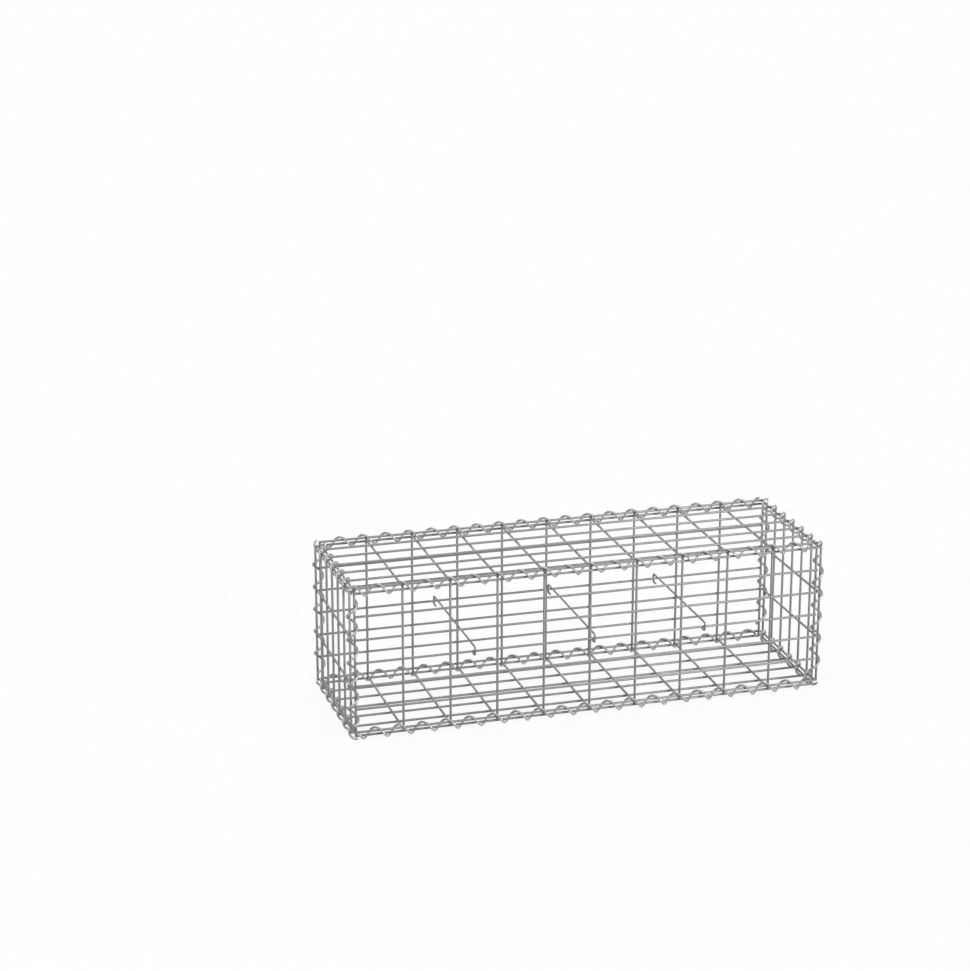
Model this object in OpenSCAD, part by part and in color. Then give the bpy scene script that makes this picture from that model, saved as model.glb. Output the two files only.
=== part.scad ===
// Gabion basket of welded steel mesh: six flat panels laced together along
// all twelve edges by spirals, with hooked ties from front to back.
// Millimetres, +Z up, +X along the length. The spirals of the long bottom edges
// rest on z = 0, and the basket stands over the origin.

/* [Basket] */
// Length, between the outermost cross wires of the front
basket_length = 1000; // [500:50:2000]
// Depth, between the outermost line wires of the lid
basket_depth = 300; // [200:50:1000]
// Height, between the outermost line wires of the front
basket_height = 300; // [200:50:1000]

/* [Mesh panels] */
// Diameter of the mesh wires
wire_d = 5; // [4:0.1:5.5]
// Spacing of the line wires, as near as whole openings allow
line_gap = 50; // [40:1:75]
// Spacing of the cross wires, as near as whole openings allow
cross_gap = 100; // [80:1:150]
// How far two crossing wires melt into each other at a weld
weld_sink = 1; // [0.6:0.1:1.2]
// Gap between an upright wire's end and the cross wires of the bottom or lid
end_gap = 0.25; // [0.1:0.05:1]

/* [Spirals] */
// Distance between the two edge wires that a spiral holds side by side
edge_lap = 10; // [9.5:0.1:12]
// Slope of that lap on the long edges, in degrees from level
lap_angle = 67.5; // [65:0.5:70]
// Diameter of the spiral wire
spiral_wire_d = 5; // [4:0.1:5.5]
// Free play between a spiral and each of the two wires it holds
spiral_play = 0.3; // [0.25:0.05:0.8]
// Turns of a long spiral to one mesh opening
turns_per_cell = 2; // [1:1:2]
// How far a spiral across an end runs past the line wires of the front and back
short_over = 5; // [3:0.5:6]
// How far a long spiral stops short of the outermost cross wires
long_stop = 2; // [1:0.5:8]
// Gap between an upright spiral and the spirals across the ends above and below it
corner_gap = 2; // [1:0.5:8]

/* [Ties] */
// Diameter of the tie wire
tie_d = 4; // [3:0.1:5]
// Height of the tie's bar above the line wire that its hooks go round
tie_rise = 10; // [8:0.5:12]
// Height of a hook, from the bar down to the turned-in end
hook_h = 18; // [16:0.5:22]
// Depth of a hook, from its leg to the tip of the turned-in end
hook_depth = 16; // [12:0.5:24]
// Radius of the bends, at the middle of the wire
bend_r = 5; // [4:0.5:6]
// Gap between the middle tie and the cross wire beside it
tie_gap = 3; // [1:0.5:20]

/* [Hidden] */
// How far along the basket the outer ties are, as a share of its length from each end
tie_share = 0.25;

// How far past the first wire of its edge each spiral faces +Y, or +Z across the ends
// and +X up the corners, as a share of its pitch
bottom_front_share = 0.61;
bottom_back_share = 0.32;
top_front_share = 0.74;
top_back_share = 0.68;
bottom_left_share = 0.39;
bottom_right_share = 0.62;
top_left_share = 0.12;
top_right_share = 0.89;
front_left_share = 0.56;
front_right_share = 0.96;
back_left_share = 0.73;
back_right_share = 0.94;

// Sides of a mesh wire, flat where wires cross, and the facets of spirals and bends
wire_sides = 8;
coil_sides = 6;
coil_steps = 8;
bend_facets = 48;

// Openings of the mesh. Those of the ends are as tall as two rows of the front.
cells_long = max(2, round(basket_length / cross_gap));
cells_deep = max(2, round(basket_depth / line_gap));
cells_end = max(1, round(basket_height / line_gap / 2));
cells_high = 2 * cells_end;
half_length = basket_length / 2;
half_depth = basket_depth / 2;
cross_pitch = basket_length / cells_long;
layer = wire_d - weld_sink;

// Laps between the edge wires of two neighbouring panels
lap_y = edge_lap * cos(lap_angle);
lap_z = edge_lap * sin(lap_angle);
lap_x = sqrt(pow(edge_lap, 2) - pow(lap_y - layer, 2));

// Overhang of a wire's end past the middle of the last wire that it crosses
wire_stub = lap_z - layer - wire_d / 2 - end_gap;

// The held wires sit in two opposite corners of the faceted bore, the play off both facets
flat_share = cos(180 / coil_steps);
wound_r = edge_lap / 2 + (wire_d / 2 + spiral_play) / flat_share + spiral_wire_d / 2;
spiral_reach = wound_r + spiral_wire_d / 2;
spiral_rest = spiral_reach * flat_share;

// Panel planes, each at the middle of the panel's line wires
floor_z = spiral_rest - lap_z / 2;
lid_z = floor_z + basket_height + 2 * lap_z;
mid_z = (floor_z + lid_z) / 2;
wall_y = half_depth + lap_y;
end_x = half_length + lap_x;

// Spiral axes, midway between the two wires that each one holds
long_y = half_depth + lap_y / 2;
long_z = mid_z - spiral_rest;
short_x = half_length + (lap_x - layer) / 2;
short_z = mid_z - floor_z - (lap_z + layer) / 2;
post_x = half_length + lap_x / 2;
post_y = half_depth + (lap_y - layer) / 2;

// Lengths of the spirals: those across the ends run past the corners, the others stop short
long_run = 2 * (half_length - long_stop);
short_run = 2 * (wall_y + short_over);
post_run = 2 * (short_z - spiral_reach - corner_gap);

// Places of the ties: the outer two in the middle of an opening, one beside the middle wire
tie_z = mid_z + tie_rise;
leg_y = wall_y + (wire_d + tie_d) / 2;
outer_tie_x = half_length - cross_pitch * (floor(cells_long * tie_share) + 1 / 2);
middle_tie_x = cross_pitch * floor(cells_long / 2) - half_length + (wire_d + tie_d) / 2 + tie_gap;

// One straight mesh wire along X, with flats facing up, down and sideways
module mesh_wire(length) {
    rotate([0, 90, 0])
        rotate(180 / wire_sides)
            cylinder(h = length, d = wire_d / cos(180 / wire_sides), center = true, $fn = wire_sides);
}

// Flat panel with its outer face up: line wires along X, welded on top of cross wires along Y
module mesh(run, rise, cross_cells, line_cells) {
    for (i = [0 : line_cells])
        translate([0, rise * (i / line_cells - 1 / 2), 0])
            mesh_wire(run + 2 * wire_stub);
    for (i = [0 : cross_cells])
        translate([run * (i / cross_cells - 1 / 2), 0, -layer])
            rotate(90)
                mesh_wire(rise + 2 * wire_stub);
}

// Points round the wire in the plane through the spiral's axis, at a place along it and an
// angle from +Y
function ring(place, angle, pitch) =
    let (
        lean = norm([1, pitch / (2 * PI * wound_r)]),
        corner_r = spiral_wire_d / 2 / cos(180 / coil_sides)
    )
    [
        for (j = [0 : coil_sides - 1])
            let (
                around = (j + 1 / 2) * 360 / coil_sides,
                out = wound_r + corner_r * cos(around),
                along = lean * corner_r * sin(around)
            )
            [place + along, out * cos(angle), out * sin(angle)]
    ];

// Right-handed spiral along X, about the middle of an edge, turning once to each step of
// the mesh. Its corners point at the held wires: half a step off the axes, with level facets
// at the bottom, or on the axes.
module spiral(run, span, turns, share, corner_share) {
    pitch = span / turns;
    first = ceil(coil_steps * ((span - run) / 2 / pitch - share) - corner_share);
    last = floor(coil_steps * ((span + run) / 2 / pitch - share) - corner_share);
    steps = last - first;
    points = [
        for (k = [first : last])
            let (turn = (k + corner_share) / coil_steps)
            each ring(pitch * (turn + share) - span / 2, 360 * turn, pitch)
    ];
    skin = [
        for (k = [0 : steps - 1], j = [0 : coil_sides - 1])
            let (
                a = k * coil_sides + j,
                b = k * coil_sides + (j + 1) % coil_sides,
                c = b + coil_sides,
                d = a + coil_sides
            )
            each [[a, b, c], [a, c, d]]
    ];
    start_cap = [for (j = [coil_sides - 1 : -1 : 0]) j];
    end_cap = [for (j = [0 : coil_sides - 1]) steps * coil_sides + j];
    polyhedron(points = points, faces = concat(skin, [start_cap], [end_cap]), convexity = 10);
}

// Spirals on the long edges, on the short edges across the ends, and up the corners
module long_spiral(side_y, side_z, share) {
    color("darkgray")
        translate([0, side_y * long_y, mid_z + side_z * long_z])
            spiral(long_run, basket_length, cells_long * turns_per_cell, share, 1 / 2);
}

module short_spiral(side_x, side_z, share) {
    color("darkgray")
        translate([side_x * short_x, 0, mid_z + side_z * short_z])
            rotate([90, 0, 90])
                spiral(short_run, basket_depth, cells_deep, share, 1 / 2);
}

module post_spiral(side_x, side_y, share) {
    color("darkgray")
        translate([side_x * post_x, side_y * post_y, mid_z])
            rotate([0, -90, -90])
                spiral(post_run, basket_height, cells_high, share, 0);
}

// Quarter bend in the YZ plane, from level wire at the top to upright wire on the +Y side
module tie_bend() {
    rotate([90, 0, 90])
        rotate_extrude(angle = 90, $fn = bend_facets)
            translate([bend_r, 0])
                circle(d = tie_d, $fn = bend_facets);
}

// Half of a tie: half the bar, then down the outside of the wall and in under the line wire
module half_tie() {
    bend_y = leg_y - bend_r;
    rotate([-90, 0, 0])
        cylinder(h = bend_y, d = tie_d, $fn = bend_facets);
    translate([0, bend_y, -bend_r])
        tie_bend();
    translate([0, leg_y, bend_r - hook_h])
        cylinder(h = hook_h - 2 * bend_r, d = tie_d, $fn = bend_facets);
    translate([0, bend_y, bend_r - hook_h])
        rotate([-90, 0, 0])
            tie_bend();
    translate([0, leg_y - hook_depth, -hook_h])
        rotate([-90, 0, 0])
            cylinder(h = hook_depth - bend_r, d = tie_d, $fn = bend_facets);
}

module tie(place_x) {
    color("gray")
        translate([place_x, 0, tie_z]) {
            half_tie();
            mirror([0, 1, 0])
                half_tie();
        }
}

module front_panel() {
    color("silver")
        translate([0, -wall_y, mid_z])
            rotate([90, 0, 0])
                mesh(basket_length, basket_height, cells_long, cells_high);
}

module back_panel() {
    color("silver")
        translate([0, wall_y, mid_z])
            rotate([-90, 0, 0])
                mesh(basket_length, basket_height, cells_long, cells_high);
}

module left_panel() {
    color("lightgray")
        translate([-end_x, 0, mid_z])
            rotate([0, -90, 0])
                mesh(basket_height, basket_depth, cells_end, cells_deep);
}

module right_panel() {
    color("lightgray")
        translate([end_x, 0, mid_z])
            rotate([0, 90, 0])
                mesh(basket_height, basket_depth, cells_end, cells_deep);
}

module bottom_panel() {
    color("gainsboro")
        translate([0, 0, floor_z])
            rotate([180, 0, 0])
                mesh(basket_length, basket_depth, cells_long, cells_deep);
}

module lid_panel() {
    color("gainsboro")
        translate([0, 0, lid_z])
            mesh(basket_length, basket_depth, cells_long, cells_deep);
}

front_panel();
back_panel();
left_panel();
right_panel();
bottom_panel();
lid_panel();
long_spiral(-1, -1, bottom_front_share);  // spiral_bottom_front
long_spiral(1, -1, bottom_back_share);  // spiral_bottom_back
long_spiral(-1, 1, top_front_share);  // spiral_top_front
long_spiral(1, 1, top_back_share);  // spiral_top_back
short_spiral(-1, -1, bottom_left_share);  // spiral_bottom_left
short_spiral(1, -1, bottom_right_share);  // spiral_bottom_right
short_spiral(-1, 1, top_left_share);  // spiral_top_left
short_spiral(1, 1, top_right_share);  // spiral_top_right
post_spiral(-1, -1, front_left_share);  // spiral_front_left
post_spiral(1, -1, front_right_share);  // spiral_front_right
post_spiral(-1, 1, back_left_share);  // spiral_back_left
post_spiral(1, 1, back_right_share);  // spiral_back_right
tie(-outer_tie_x);  // tie_left
tie(middle_tie_x);  // tie_middle
tie(outer_tie_x);  // tie_right
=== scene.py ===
import math

import bmesh
import bpy
from mathutils import Matrix, Vector


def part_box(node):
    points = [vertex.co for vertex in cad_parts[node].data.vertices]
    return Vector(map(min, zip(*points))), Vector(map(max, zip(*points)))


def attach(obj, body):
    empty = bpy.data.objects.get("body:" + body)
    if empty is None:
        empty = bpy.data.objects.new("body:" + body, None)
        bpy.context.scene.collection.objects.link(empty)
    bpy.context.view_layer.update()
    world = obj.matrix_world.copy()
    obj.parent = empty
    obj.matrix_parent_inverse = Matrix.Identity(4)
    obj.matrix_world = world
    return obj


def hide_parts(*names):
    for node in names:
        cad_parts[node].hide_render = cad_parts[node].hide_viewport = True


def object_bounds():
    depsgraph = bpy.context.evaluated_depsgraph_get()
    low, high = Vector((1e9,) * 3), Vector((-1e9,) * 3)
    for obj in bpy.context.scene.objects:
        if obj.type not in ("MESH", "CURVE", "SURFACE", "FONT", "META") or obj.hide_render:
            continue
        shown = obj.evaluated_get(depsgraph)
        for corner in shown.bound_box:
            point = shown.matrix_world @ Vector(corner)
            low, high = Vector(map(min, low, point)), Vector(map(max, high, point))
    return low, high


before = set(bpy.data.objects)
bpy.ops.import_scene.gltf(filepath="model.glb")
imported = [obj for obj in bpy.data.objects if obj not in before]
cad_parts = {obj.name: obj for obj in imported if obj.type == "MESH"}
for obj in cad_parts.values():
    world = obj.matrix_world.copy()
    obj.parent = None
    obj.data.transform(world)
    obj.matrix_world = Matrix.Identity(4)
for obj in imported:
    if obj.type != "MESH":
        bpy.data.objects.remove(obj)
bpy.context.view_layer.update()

# Mesh panels
# Six flat mats of galvanised steel wire, the bottom, the four walls and the lid. The wires are
# drawn round, laid crosswise in two layers and resistance-welded at every crossing, then
# cropped just past the outermost wires. The spirals lace the mats together along their edges.

# Openings of 100 by 50 mm between wires of 5 mm, which sink 1 mm into each other at the welds.
basket_length, basket_depth, basket_height = 1.0, 0.3, 0.3
cells_long, cells_deep, cells_high, cells_end = 10, 6, 6, 3
wire_d = 0.005
weld_sink = 0.001
layer = wire_d - weld_sink

# The edge wires of two mats lie aslant inside a spiral, 10 mm from middle to middle.
edge_lap = 0.01
lap_slant = math.radians(67.5)
lap_y = edge_lap * math.cos(lap_slant)
lap_z = edge_lap * math.sin(lap_slant)
lap_x = math.sqrt(edge_lap ** 2 - (lap_y - layer) ** 2)
floor_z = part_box("bottom_panel")[0].z + wire_d / 2
lid_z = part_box("lid_panel")[1].z - wire_d / 2
mid_z = (floor_z + lid_z) / 2
wall_y = basket_depth / 2 + lap_y
end_x = basket_length / 2 + lap_x
# The wire ends stop just short of the neighbouring mat.
stub_gap = 0.00025
wire_stub = lap_z - layer - wire_d / 2 - stub_gap
# Shears round the rim of a cropped end: its depth and the width left, as shares of the wire's.
crop_share, end_share = 0.09, 0.84


def sweep_wire(bm, path, diameter, sides=14):
    """Round wire along a path, with cropped ends, and UVs in metres along and around it."""
    uv = bm.loops.layers.uv.verify()
    path = [Vector(p) for p in path]
    tangents = [(path[min(i + 1, len(path) - 1)] - path[max(i - 1, 0)]).normalized()
                for i in range(len(path))]
    crop = diameter * crop_share
    spots = [(path[0], tangents[0], end_share)]
    spots += [(path[0] + tangents[0] * crop, tangents[0], 1.0)]
    spots += [(p, t, 1.0) for p, t in zip(path[1:-1], tangents[1:-1])]
    spots += [(path[-1] - tangents[-1] * crop, tangents[-1], 1.0)]
    spots += [(path[-1], tangents[-1], end_share)]
    side = tangents[0].orthogonal().normalized()
    rings, along, last = [], [], None
    for place, tangent, width in spots:
        side = (side - tangent * side.dot(tangent)).normalized()
        up = tangent.cross(side)
        reach = diameter / 2 * width
        rings.append([bm.verts.new(place + (side * math.cos(a) + up * math.sin(a)) * reach)
                      for a in (math.tau * j / sides for j in range(sides))])
        along.append(along[-1] + (place - last).length if along else 0.0)
        last = place
    girth = math.pi * diameter
    for k in range(len(rings) - 1):
        for j in range(sides):
            i = (j + 1) % sides
            face = bm.faces.new((rings[k][j], rings[k][i], rings[k + 1][i], rings[k + 1][j]))
            face.smooth = True
            marks = ((k, j), (k, j + 1), (k + 1, j + 1), (k + 1, j))
            for loop, (a, b) in zip(face.loops, marks):
                loop[uv].uv = (along[a], girth * b / sides)
    for cap in (list(reversed(rings[0])), rings[-1]):
        face = bm.faces.new(cap)
        for loop in face.loops:
            loop[uv].uv = (0.0, 0.0)


bead_r, bead_half_height = 0.0029, 0.0013


def weld_bead(bm, place, slot_index):
    """Squashed bead of metal that the weld presses out between two crossing wires."""
    rows, cols = 5, 12
    rings = []
    for k in range(1, rows):
        tilt = math.pi * k / rows
        width, height = bead_r * math.sin(tilt), bead_half_height * math.cos(tilt)
        rings.append([bm.verts.new((place[0] + width * math.cos(math.tau * j / cols),
                                    place[1] + width * math.sin(math.tau * j / cols),
                                    place[2] + height)) for j in range(cols)])
    for k in range(len(rings) - 1):
        for j in range(cols):
            i = (j + 1) % cols
            face = bm.faces.new((rings[k][j], rings[k + 1][j], rings[k + 1][i], rings[k][i]))
            face.smooth = True
            face.material_index = slot_index
    for cap in (rings[0], list(reversed(rings[-1]))):
        bm.faces.new(cap).material_index = slot_index


def linear(hex_colour):
    """sRGB hex colour as linear RGBA."""
    parts = [int(hex_colour[i:i + 2], 16) / 255 for i in (1, 3, 5)]
    return (*[c / 12.92 if c <= 0.04045 else ((c + 0.055) / 1.055) ** 2.4 for c in parts], 1.0)


def add(tree, kind, settings=None, values=None, links=None):
    """Adds a node with its settings, its socket values and the links into it."""
    node = tree.nodes.new(kind)
    for name, value in (settings or {}).items():
        setattr(node, name, value)
    for name, value in (values or {}).items():
        node.inputs[name].default_value = value
    for name, socket in (links or {}).items():
        tree.links.new(socket, node.inputs[name])
    return node


def galvanised_wire(name, dull, bright, smoothest, roughest, metallic):
    """Hot-dip galvanised drawn steel wire: satin mid-grey, cloudy in patches of a few centimetres
    where the zinc took on unevenly, with faint streaks along it from the wiping die. Zinc grows a
    dull skin in the open, and the metallic share is how much bare metal shines through it."""
    material = bpy.data.materials.new(name)
    material.use_nodes = True
    tree = material.node_tree
    tree.nodes.clear()
    place = add(tree, "ShaderNodeTexCoord")
    # Cloudy patches 25 mm across, in the basket's own space so that each wire differs.
    cloud_size = 0.025
    cloud = add(tree, "ShaderNodeTexNoise",
                values={"Scale": 1 / cloud_size, "Detail": 3.0, "Roughness": 0.6},
                links={"Vector": place.outputs["Object"]})
    # Die streaks: really a few hundredths of a millimetre wide, drawn 0.8 mm wide to show.
    streak_length, streak_width = 0.06, 0.0008
    stretch = add(tree, "ShaderNodeMapping",
                  values={"Scale": (1 / streak_length, 1 / streak_width, 1.0)},
                  links={"Vector": place.outputs["UV"]})
    streak = add(tree, "ShaderNodeTexNoise", values={"Scale": 1.0, "Detail": 2.0},
                 links={"Vector": stretch.outputs["Vector"]})
    blend = add(tree, "ShaderNodeMix", {"data_type": "FLOAT"}, {"Factor": 0.3},
                {"A": cloud.outputs["Fac"], "B": streak.outputs["Fac"]})
    tone = add(tree, "ShaderNodeValToRGB", links={"Fac": blend.outputs["Result"]})
    tone.color_ramp.elements[0].position = 0.32
    tone.color_ramp.elements[0].color = linear(dull)
    tone.color_ramp.elements[1].position = 0.68
    tone.color_ramp.elements[1].color = linear(bright)
    satin = add(tree, "ShaderNodeMapRange",
                values={"From Min": 0.3, "From Max": 0.7, "To Min": roughest, "To Max": smoothest},
                links={"Value": cloud.outputs["Fac"]})
    grain = add(tree, "ShaderNodeBump", values={"Strength": 0.25, "Distance": 0.0001},
                links={"Height": streak.outputs["Fac"]})
    metal = add(tree, "ShaderNodeBsdfPrincipled", values={"Metallic": metallic},
                links={"Base Color": tone.outputs["Color"], "Roughness": satin.outputs["Result"],
                       "Normal": grain.outputs["Normal"]})
    add(tree, "ShaderNodeOutputMaterial", links={"Surface": metal.outputs["BSDF"]})
    return material


mesh_zinc = galvanised_wire("galvanised_mesh_wire", "#8e8f90", "#9e9fa0", 0.36, 0.48, 0.15)
# Burnt zinc at the welds: the coating boils off there and leaves a duller, darker bead.
weld_zinc = galvanised_wire("burnt_zinc_weld", "#858686", "#979898", 0.5, 0.65, 0.15)


def add_piece(name, bm, materials, node):
    """Turns the wires into a piece that stands for its node of the frame."""
    mesh = bpy.data.meshes.new(name)
    bm.to_mesh(mesh)
    bm.free()
    for material in materials:
        mesh.materials.append(material)
    piece = bpy.data.objects.new(name, mesh)
    bpy.context.scene.collection.objects.link(piece)
    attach(piece, "root")
    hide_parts(node)


def weld_panel(node, run, rise, cross_cells, line_cells, stand):
    """Mat lying flat with its outer face up: line wires on top of cross wires, then stood up."""
    bm = bmesh.new()
    lines = [rise * (i / line_cells - 0.5) for i in range(line_cells + 1)]
    crosses = [run * (i / cross_cells - 0.5) for i in range(cross_cells + 1)]
    half_run, half_rise = run / 2 + wire_stub, rise / 2 + wire_stub
    zincs = [mesh_zinc, weld_zinc]
    for y in lines:
        sweep_wire(bm, [(-half_run, y, 0), (0, y, 0), (half_run, y, 0)], wire_d)
    for x in crosses:
        sweep_wire(bm, [(x, -half_rise, -layer), (x, 0, -layer), (x, half_rise, -layer)], wire_d)
    for y in lines:
        for x in crosses:
            weld_bead(bm, (x, y, -layer / 2), zincs.index(weld_zinc))
    bm.transform(stand)
    add_piece("galvanised_" + node, bm, zincs, node)


quarter = math.pi / 2
weld_panel("bottom_panel", basket_length, basket_depth, cells_long, cells_deep,
           Matrix.Translation((0, 0, floor_z)) @ Matrix.Rotation(math.pi, 4, "X"))
weld_panel("front_panel", basket_length, basket_height, cells_long, cells_high,
           Matrix.Translation((0, -wall_y, mid_z)) @ Matrix.Rotation(quarter, 4, "X"))
weld_panel("back_panel", basket_length, basket_height, cells_long, cells_high,
           Matrix.Translation((0, wall_y, mid_z)) @ Matrix.Rotation(-quarter, 4, "X"))
weld_panel("left_panel", basket_height, basket_depth, cells_end, cells_deep,
           Matrix.Translation((-end_x, 0, mid_z)) @ Matrix.Rotation(-quarter, 4, "Y"))
weld_panel("right_panel", basket_height, basket_depth, cells_end, cells_deep,
           Matrix.Translation((end_x, 0, mid_z)) @ Matrix.Rotation(quarter, 4, "Y"))
weld_panel("lid_panel", basket_length, basket_depth, cells_long, cells_deep,
           Matrix.Translation((0, 0, lid_z)))

# Spirals
# Twelve right-handed spirals of the same galvanised wire, wound cold on a mandrel. Each is
# screwed in from the end of its edge, through the openings of two mats at once, and holds
# their edge wires together. The long ones turn twice to an opening, the others once.

spiral_wire_d = 0.005
# The bore clears both held wires by 0.2 mm.
bore_gap = 0.0002
wound_r = edge_lap / 2 + wire_d / 2 + bore_gap + spiral_wire_d / 2
# Room kept for a spiral at a corner, with the play and the eight flats that its solid has.
coil_steps, solid_play = 8, 0.0003
spiral_reach = edge_lap / 2 + (wire_d / 2 + solid_play) / math.cos(math.pi / coil_steps) + spiral_wire_d
# Those across the ends run past the front and back, and the others stop short of them.
short_over, long_stop, corner_gap = 0.005, 0.002, 0.002

long_y = basket_depth / 2 + lap_y / 2
long_z = (lid_z - floor_z + lap_z) / 2 - lap_z
short_x = basket_length / 2 + (lap_x - layer) / 2
short_z = (lid_z - floor_z - lap_z - layer) / 2
post_x = basket_length / 2 + lap_x / 2
post_y = basket_depth / 2 + (lap_y - layer) / 2

# The spirals are lighter and glossier than the mats: the gloss is real, and the lighter base is painted
# highlight standing in for their bright strokes.
spring_zinc = galvanised_wire("galvanised_spiral_wire", "#adaeaf", "#bcbdbe", 0.18, 0.28, 0.2)


def wind_spiral(node, axis, across, run, span, turns, share, corner_share):
    """Spiral about an axis through the middle of an edge. Its share is where in a pitch a turn starts,
    and its corner share is where in an eighth of a turn it is cut off."""
    pitch = span / turns
    first = math.ceil(coil_steps * ((span - run) / 2 / pitch - share) - corner_share)
    last = math.floor(coil_steps * ((span + run) / 2 / pitch - share) - corner_share)
    # Four points to an eighth of a turn make the coil round.
    finer = 4
    path = []
    for k in range(finer * (last - first) + 1):
        turn = (first + k / finer + corner_share) / coil_steps
        path.append(across + axis @ Vector((pitch * (turn + share) - span / 2,
                                            wound_r * math.cos(math.tau * turn),
                                            wound_r * math.sin(math.tau * turn))))
    bm = bmesh.new()
    sweep_wire(bm, path, spiral_wire_d, sides=12)
    add_piece("galvanised_" + node, bm, [spring_zinc], node)


# Axes along the length, across the ends and up the corners.
lengthwise = Matrix.Identity(3)
crosswise = Matrix(((0, 0, 1), (1, 0, 0), (0, 1, 0)))
upright = Matrix(((0, 1, 0), (0, 0, 1), (1, 0, 0)))
long_run = basket_length - 2 * long_stop
short_run = 2 * (wall_y + short_over)
post_run = 2 * (short_z - spiral_reach - corner_gap)
turns_long = cells_long * 2
for node, y, z, share in (("spiral_bottom_front", -1, -1, 0.61), ("spiral_bottom_back", 1, -1, 0.32),
                          ("spiral_top_front", -1, 1, 0.74), ("spiral_top_back", 1, 1, 0.68)):
    wind_spiral(node, lengthwise, Vector((0, y * long_y, mid_z + z * long_z)),
                long_run, basket_length, turns_long, share, corner_share=0.5)
for node, x, z, share in (("spiral_bottom_left", -1, -1, 0.39), ("spiral_bottom_right", 1, -1, 0.62),
                          ("spiral_top_left", -1, 1, 0.12), ("spiral_top_right", 1, 1, 0.89)):
    wind_spiral(node, crosswise, Vector((x * short_x, 0, mid_z + z * short_z)),
                short_run, basket_depth, cells_deep, share, corner_share=0.5)
for node, x, y, share in (("spiral_front_left", -1, -1, 0.56), ("spiral_front_right", 1, -1, 0.96),
                          ("spiral_back_left", -1, 1, 0.73), ("spiral_back_right", 1, 1, 0.94)):
    wind_spiral(node, upright, Vector((x * post_x, y * post_y, mid_z)),
                post_run, basket_height, cells_high, share, corner_share=0.0)

# Ties
# Three straight wires from front to back at half height, which keep the filled walls from
# bulging. Each end is bent over the outside of a middle line wire and turned in under it.

tie_d = 0.004
tie_lift = 0.01
tie_z = mid_z + tie_lift
leg_y = wall_y + (wire_d + tie_d) / 2
hook_h, hook_depth, bend_r = 0.018, 0.016, 0.005
bend_steps = 12

# The zinc of the ties has dulled further than that of the mats.
tie_zinc = galvanised_wire("galvanised_tie_wire", "#828384", "#929394", 0.5, 0.64, 0.15)

for node, tie_x in (("tie_left", -0.25), ("tie_middle", 0.0075), ("tie_right", 0.25)):
    half_path = [(tie_x, leg_y - hook_depth, tie_z - hook_h)]
    for k in range(bend_steps + 1):
        turn = quarter * k / bend_steps - quarter
        half_path.append((tie_x, leg_y - bend_r + bend_r * math.cos(turn),
                          tie_z - hook_h + bend_r + bend_r * math.sin(turn)))
    for k in range(bend_steps + 1):
        turn = quarter * k / bend_steps
        half_path.append((tie_x, leg_y - bend_r + bend_r * math.cos(turn),
                          tie_z - bend_r + bend_r * math.sin(turn)))
    bm = bmesh.new()
    sweep_wire(bm, half_path + [(x, -y, z) for x, y, z in reversed(half_path)], tie_d)
    add_piece("galvanised_" + node, bm, [tie_zinc], node)

# Studio
# The basket stands on a floor of plain white paper in a dim room, under three softboxes. The
# camera looks down on it from the front left through a long lens.

floor_mesh = bpy.data.meshes.new("studio_floor")
rest_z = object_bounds()[0].z
half_floor = 40.0
floor_mesh.from_pydata([(x * half_floor, y * half_floor, rest_z)
                        for x, y in ((-1, -1), (1, -1), (1, 1), (-1, 1))], [], [(0, 1, 2, 3)])
studio_floor = bpy.data.objects.new("studio_floor", floor_mesh)
bpy.context.scene.collection.objects.link(studio_floor)
# Matt white paper, white to the eye and in the shine of the wires. Nine tenths of that is its own
# glow, and the rest takes the shadow of the basket.
glow_share = 0.9
white_paper = bpy.data.materials.new("white_paper")
white_paper.use_nodes = True
tree = white_paper.node_tree
tree.nodes.clear()
glow = add(tree, "ShaderNodeEmission", values={"Color": linear("#ffffff"), "Strength": 1.0})
light_path = add(tree, "ShaderNodeLightPath")
seen = add(tree, "ShaderNodeMath", {"operation": "MAXIMUM"})
tree.links.new(light_path.outputs["Is Camera Ray"], seen.inputs[0])
tree.links.new(light_path.outputs["Is Glossy Ray"], seen.inputs[1])
seen_through = add(tree, "ShaderNodeMath", {"operation": "MAXIMUM"})
tree.links.new(seen.outputs[0], seen_through.inputs[0])
tree.links.new(light_path.outputs["Is Transmission Ray"], seen_through.inputs[1])
share_seen = add(tree, "ShaderNodeMath", {"operation": "MULTIPLY"})
tree.links.new(seen_through.outputs[0], share_seen.inputs[0])
share_seen.inputs[1].default_value = glow_share
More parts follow.
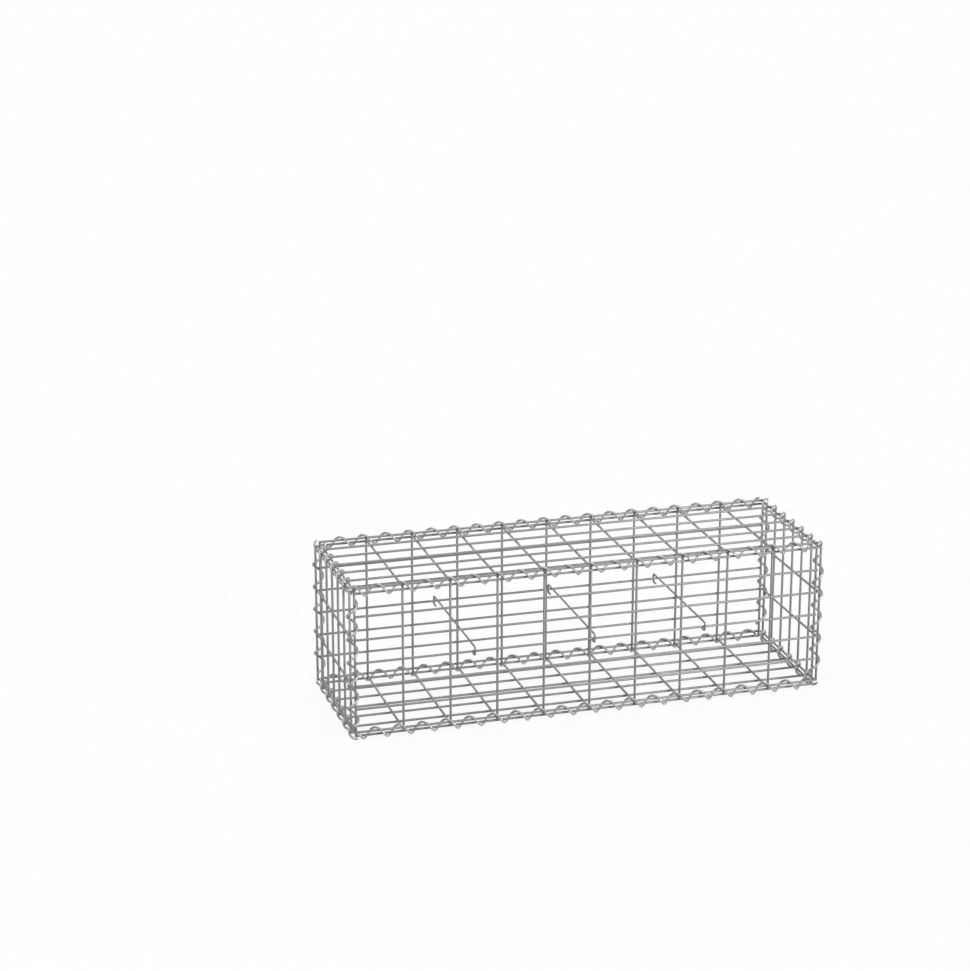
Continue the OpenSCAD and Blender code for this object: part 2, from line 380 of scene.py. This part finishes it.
# Light that the floor throws back at the basket is kept low, so that the wires stay dark below.
# Inputs 6 and 7 of this node are the two colours, and output 2 is their mix.
tint = add(tree, "ShaderNodeMix", {"data_type": "RGBA"}, links={"Factor": seen_through.outputs[0]})
tint.inputs[6].default_value = linear("#8c8c8c")
tint.inputs[7].default_value = linear("#f4f4f4")
paper = add(tree, "ShaderNodeBsdfDiffuse", links={"Color": tint.outputs[2]})
mixed = add(tree, "ShaderNodeMixShader", links={"Fac": share_seen.outputs[0]})
tree.links.new(paper.outputs[0], mixed.inputs[1])
tree.links.new(glow.outputs[0], mixed.inputs[2])
add(tree, "ShaderNodeOutputMaterial", links={"Surface": mixed.outputs[0]})
floor_mesh.materials.append(white_paper)

world = bpy.data.worlds.new("dim_room")
bpy.context.scene.world = world
world.use_nodes = True
tree = world.node_tree
tree.nodes.clear()
# The walls are lighter than the ceiling, so that the fill comes from the sides.
direction = add(tree, "ShaderNodeTexCoord")
heading = add(tree, "ShaderNodeSeparateXYZ", links={"Vector": direction.outputs["Generated"]})
fade = add(tree, "ShaderNodeMapRange",
           values={"From Min": 0.0, "From Max": 0.6, "To Min": 0.25, "To Max": 0.12},
           links={"Value": heading.outputs["Z"]})
room = add(tree, "ShaderNodeBackground", values={"Color": linear("#ffffff")},
           links={"Strength": fade.outputs["Result"]})
add(tree, "ShaderNodeOutputWorld", links={"Surface": room.outputs[0]})

# One softbox stands to the right of the camera and draws the bright strokes on the spirals, a wider
# one hangs above on the left over the wires that run front to back, and one stands behind.
for name, toward, strength, spread in (("right_softbox", (0.62, -0.72, 0.3), 2.7, 25),
                                       ("overhead_softbox", (-0.6, -0.1, 0.8), 2.0, 60),
                                       ("rear_softbox", (0.2, 0.9, 0.35), 1.1, 40)):
    softbox = bpy.data.lights.new(name, "SUN")
    softbox.energy = strength
    softbox.angle = math.radians(spread)
    softbox_object = bpy.data.objects.new(name, softbox)
    softbox_object.rotation_euler = Vector(toward).to_track_quat("Z", "Y").to_euler()
    bpy.context.scene.collection.objects.link(softbox_object)

camera = bpy.data.cameras.new("photo_view")
camera.lens = 100.441
camera.sensor_width = 36.0
camera.clip_end = 200.0
camera_object = bpy.data.objects.new("photo_view", camera)
camera_object.location = (-1.69466, -5.10758, 2.18576)
pan, tilt, roll = -0.28783, 1.25885, 0.00069
camera_object.rotation_euler = (Matrix.Rotation(pan, 3, "Z") @ Matrix.Rotation(tilt, 3, "X")
                                @ Matrix.Rotation(roll, 3, "Z")).to_euler()
bpy.context.scene.collection.objects.link(camera_object)
bpy.context.scene.camera = camera_object
bpy.context.scene.view_settings.view_transform = "Standard"
